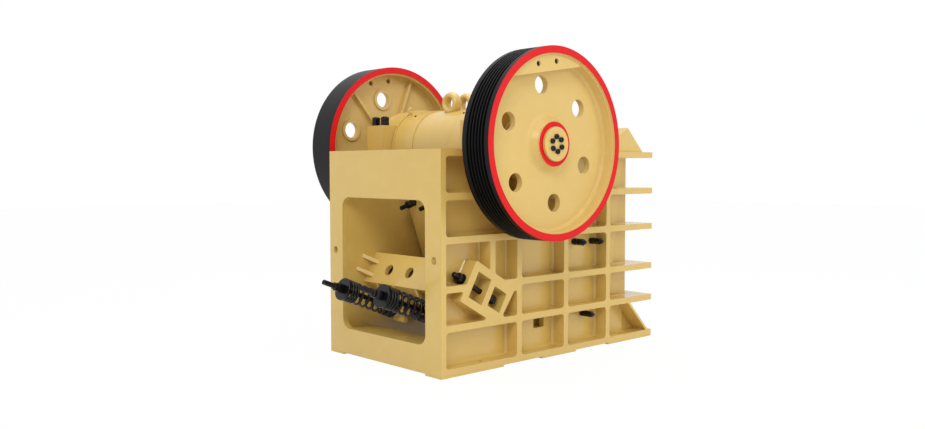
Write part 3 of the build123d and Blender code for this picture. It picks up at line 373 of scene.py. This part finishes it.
for side, sign in sides.items():
    direction = slopeDirection(rodLook["slope"])
    tip = sloped(rodLook["start"], rodLook["slope"], 0, sign * rodLook["y"])
    nuts = bmesh.new()
    standPart(nuts, makeStud(rodLook), [along(tip, direction, rodLook["turn"])])
    finishPiece(side + "SideRodNuts", nuts, blackSteel, "frame", [side + "_side_rod_nut"])
    spring = bmesh.new()
    seat = sloped(rodLook["start"], rodLook["slope"], springLook["from"], sign * rodLook["y"])
    standPart(spring, makeCoil(springLook), [along(seat, direction)])
    finishPiece(side + "SideSpring", spring, blackSteel, "frame",
                [side + "_side_tension_spring"])

# adjusting bolts in the toggle boxes
adjusterLook = {
    "start": (-1.0685, 0.7156), "slope": 30.0, "y": 0.602, "radius": 0.021, "pitch": 0.0045,
    "thread": 0.2, "length": 0.46, "washers": [(0.085, 0.044, 0.008)], "turn": 8,
    "nuts": [(0.043, 0.066, 0.042), (0.394, 0.06, 0.031), (0.428, 0.06, 0.031)],
}
for side, sign in sides.items():
    bolt = bmesh.new()
    tip = sloped(adjusterLook["start"], adjusterLook["slope"], 0, sign * adjusterLook["y"])
    standPart(bolt, makeStud(adjusterLook), [
        along(tip, slopeDirection(adjusterLook["slope"]), adjusterLook["turn"])])
    finishPiece(side + "SideAdjustingBolt", bolt, blackSteel, "frame",
                [side + "_side_adjusting_bolt"])

# studs that hold the bearing caps
capStudLook = {
    "top": 1.885, "spreadX": 0.35, "y": 0.569, "spreadY": 0.058, "radius": 0.021, "pitch": 0.0045,
    "thread": 0.07, "length": 0.074, "nuts": [(0.005, 0.062, 0.034), (0.04, 0.062, 0.034)], "turn": 15,
}
capStudPlaces = []
for spread in (-1, 1):
    for sign in (-1, 1):
        for offset in (-1, 1):
            top = (wheelLook["axisX"] + spread * capStudLook["spreadX"],
                   sign * capStudLook["y"] + offset * capStudLook["spreadY"], capStudLook["top"])
            capStudPlaces.append(along(top, (0, 0, -1), capStudLook["turn"] * len(capStudPlaces)))
capStuds = bmesh.new()
standPart(capStuds, makeStud(capStudLook), capStudPlaces)
finishPiece("capStuds", capStuds, blackSteel, "frame", ["cap_studs"])

# studs through the side walls that hold the cheek plates
cheekStudLook = {
    "places": ((0.284, 0.868), (0.501, 0.864), (0.389, 0.273), (0.33, 1.4), (0.47, 1.4)),
    "y": 0.687, "radius": 0.015, "pitch": 0.0035, "thread": 0.13, "length": 0.134,
    "nuts": [(0.021, 0.047, 0.036), (0.059, 0.047, 0.036), (0.097, 0.047, 0.037)], "turn": 20,
}
for side, sign in sides.items():
    studs = bmesh.new()
    standPart(studs, makeStud(cheekStudLook), [
        along((x, sign * cheekStudLook["y"], z), (0, -sign, 0), cheekStudLook["turn"] * index)
        for index, (x, z) in enumerate(cheekStudLook["places"])])
    finishPiece(side + "SideCheekStuds", studs, blackSteel, "frame",
                [side + "_side_cheek_studs"])
print("frame fasteners made")


# screws in the hub covers and in the counterweights
screwLook = {
    "hubFace": 1.052, "hubCircle": 0.053, "hubAngles": [96.5 + 60 * turn for turn in range(6)],
    "weightFace": 1.021, "weightCircle": 0.586, "weightAngles": [90.0, 108.6],
    "headRadius": 0.0195, "headHeight": 0.016, "rounding": 0.15,
    "socket": 0.014, "socketDepth": 0.01, "socketRing": 0.66, "socketCuts": 3,
}


def makeSocketHead(radius, height, flats, depth):
    # round screw head, its top at z = 0 towards -Z and a hexagon socket sunk in it
    rounding = radius * screwLook["rounding"]
    head = makePart([(height, 0), (height, radius), (rounding, radius), (0, radius - rounding),
                     (0, flats * screwLook["socketRing"])], partLook["screwSteps"])
    top = [edge for edge in head.edges if edge.is_boundary]
    hexagon = bmesh.ops.create_circle(head, segments=6, radius=flats / math.sqrt(3))["verts"]
    flatEdges = list({edge for vert in hexagon for edge in vert.link_edges})
    bmesh.ops.subdivide_edges(head, edges=flatEdges, cuts=screwLook["socketCuts"])
    mouth = [edge for edge in head.edges if not edge.link_faces]
    bmesh.ops.bridge_loops(head, edges=top + mouth)
    walls = bmesh.ops.extrude_edge_only(head, edges=mouth)["geom"]
    bmesh.ops.translate(head, vec=(0, 0, depth), verts=[item for item in walls
                                                        if isinstance(item, bmesh.types.BMVert)])
    bmesh.ops.holes_fill(head, edges=[edge for edge in head.edges if edge.is_boundary], sides=0)
    return head


def wheelPlace(circle, angle, face, sign):
    turn = math.radians(angle)
    return along((wheelLook["axisX"] + circle * math.cos(turn), sign * face,
                  wheelLook["axisZ"] + circle * math.sin(turn)), (0, -sign, 0))


for group, replaced in (("hub", ["hub_bolts"]), ("weight", [])):
    circle, face = screwLook[group + "Circle"], screwLook[group + "Face"]
    head = makeSocketHead(screwLook["headRadius"], screwLook["headHeight"],
                          screwLook["socket"], screwLook["socketDepth"])
    screws = bmesh.new()
    standPart(screws, head, [wheelPlace(circle, angle, face, sign)
                             for angle in screwLook[group + "Angles"] for sign in (-1, 1)])
    finishPiece(group + "Screws", screws, blackSteel, "rotor", replaced)

# bolts on the back of the pitman that hold the moving jaw plate
jawBoltLook = {
    "foot": (-0.6335, 1.19), "slope": -19.3, "pitch": 0.0035, "radius": 0.018, "turn": 9,
    "rows": [-0.36, -0.12, 0.12, 0.36], "thread": 0.148, "length": 0.15,
    "nuts": [(0.068, 0.056, 0.04), (0.11, 0.056, 0.04)],
}
jawBolts = bmesh.new()
standPart(jawBolts, makeStud(jawBoltLook), [
    along(sloped(jawBoltLook["foot"], jawBoltLook["slope"], -jawBoltLook["length"], y),
          slopeDirection(jawBoltLook["slope"]), jawBoltLook["turn"] * index)
    for index, y in enumerate(jawBoltLook["rows"])])
finishPiece("jawBolts", jawBolts, blackSteel, "moving_jaw", ["jaw_bolts"])

# plugs on the drum
plugLook = {"axis": (-0.463, 0, 1.623), "drum": 0.312, "angle": 123.0, "rows": (-0.24, 0.34),
            "radius": 0.009, "height": 0.012}
plugAngle = math.radians(plugLook["angle"])
outward = Vector((math.cos(plugAngle), 0, math.sin(plugAngle)))
plugs = bmesh.new()
standPart(plugs, makeWasher(plugLook["radius"], plugLook["height"]), [
    along(Vector(plugLook["axis"]) + outward * plugLook["drum"] + Vector((0, y, 0)), outward)
    for y in plugLook["rows"]])
finishPiece("drumPlugs", plugs, blackSteel, "moving_jaw", [])
print("moving fasteners made")


# studio
studio = {
    "floorSize": 60.0, "floorColour": "#F2F2F0", "floorRoughness": 0.8, "floorWhite": 0.97,
    "world": 0.62, "aim": (0, 0, 1),
    "keyPlace": (-9.0, -7.0, 9.0), "keySize": 5.0, "keyPower": 640.0,
    "fillPlace": (4.0, -11.0, 5.0), "fillSize": 7.0, "fillPower": 340.0,
    "topPlace": (0.0, 0.0, 9.0), "topSize": 7.0, "topPower": 330.0,
}


def seenDirectly(tree):
    # 1 for the rays that draw the background itself, also through glass and in gloss
    path = addNode(tree, "ShaderNodeLightPath").outputs
    seen = calculate(tree, "MAXIMUM", path["Is Camera Ray"], path["Is Transmission Ray"])
    return calculate(tree, "MAXIMUM", seen, path["Is Glossy Ray"])


def makeFloor():
    mesh = bpy.data.meshes.new("floor")
    shape = bmesh.new()
    bmesh.ops.create_grid(shape, x_segments=1, y_segments=1, size=studio["floorSize"] / 2)
    shape.to_mesh(mesh)
    shape.free()
    floor = bpy.data.objects.new("floor", mesh)
    bpy.context.scene.collection.objects.link(floor)
    material, tree = newMaterial("whitePaper")
    grain = addNode(tree, "ShaderNodeBump", {
        "Strength": 0.02, "Distance": 0.0005, "Height": noiseOf(tree, 5)}).outputs[0]
    paper = addNode(tree, "ShaderNodeBsdfPrincipled", {
        "Base Color": toLinear(studio["floorColour"]), "Normal": grain,
        "Roughness": studio["floorRoughness"]})
    white = addNode(tree, "ShaderNodeEmission", {"Color": (1, 1, 1, 1), "Strength": 1.0})
    share = calculate(tree, "MULTIPLY", seenDirectly(tree), studio["floorWhite"])
    mix = addNode(tree, "ShaderNodeMixShader", {0: share, 1: paper.outputs[0], 2: white.outputs[0]})
    addNode(tree, "ShaderNodeOutputMaterial", {"Surface": mix.outputs[0]})
    mesh.materials.append(material)


def makeWorld():
    world = bpy.data.worlds.new("whiteStudio")
    bpy.context.scene.world = world
    world.use_nodes = True
    tree = world.node_tree
    tree.nodes.clear()
    lit = addNode(tree, "ShaderNodeBackground", {"Color": (1, 1, 1, 1), "Strength": studio["world"]})
    white = addNode(tree, "ShaderNodeBackground", {"Color": (1, 1, 1, 1), "Strength": 1.0})
    mix = addNode(tree, "ShaderNodeMixShader", {
        0: seenDirectly(tree), 1: lit.outputs[0], 2: white.outputs[0]})
    addNode(tree, "ShaderNodeOutputWorld", {"Surface": mix.outputs[0]})


def makeLight(name, place, size, power):
    light = bpy.data.lights.new(name, "AREA")
    light.size = size
    light.energy = power
    lamp = bpy.data.objects.new(name, light)
    lamp.location = place
    lamp.rotation_mode = "QUATERNION"
    lamp.rotation_quaternion = (Vector(studio["aim"]) - Vector(place)).to_track_quat("-Z", "Y")
    bpy.context.scene.collection.objects.link(lamp)


view = {
    "place": (-5.2381, -5.2720, 1.4635), "yaw": 47.632, "pitch": -2.974, "roll": -0.073,
    "lens": 34.60, "sensor": 36, "clip": 200,
}


def makeCamera():
    camera = bpy.data.objects.new("camera", bpy.data.cameras.new("camera"))
    bpy.context.scene.collection.objects.link(camera)
    bpy.context.scene.camera = camera
    camera.data.lens = view["lens"]
    camera.data.sensor_width = view["sensor"]
    camera.data.clip_end = view["clip"]
    yaw, pitch, roll = (math.radians(view[key]) for key in ("yaw", "pitch", "roll"))
    ahead = Vector((math.cos(pitch) * math.cos(yaw), math.cos(pitch) * math.sin(yaw), math.sin(pitch)))
    camera.rotation_mode = "QUATERNION"
    rolled = Matrix.Rotation(roll, 3, "Z").to_quaternion()
    camera.rotation_quaternion = ahead.to_track_quat("-Z", "Y") @ rolled
    camera.location = view["place"]


makeFloor()
makeWorld()
for lamp in ("key", "fill", "top"):
    makeLight(lamp + "Light", studio[lamp + "Place"], studio[lamp + "Size"], studio[lamp + "Power"])
makeCamera()
bpy.context.scene.view_settings.view_transform = "Standard"
print("studio set")
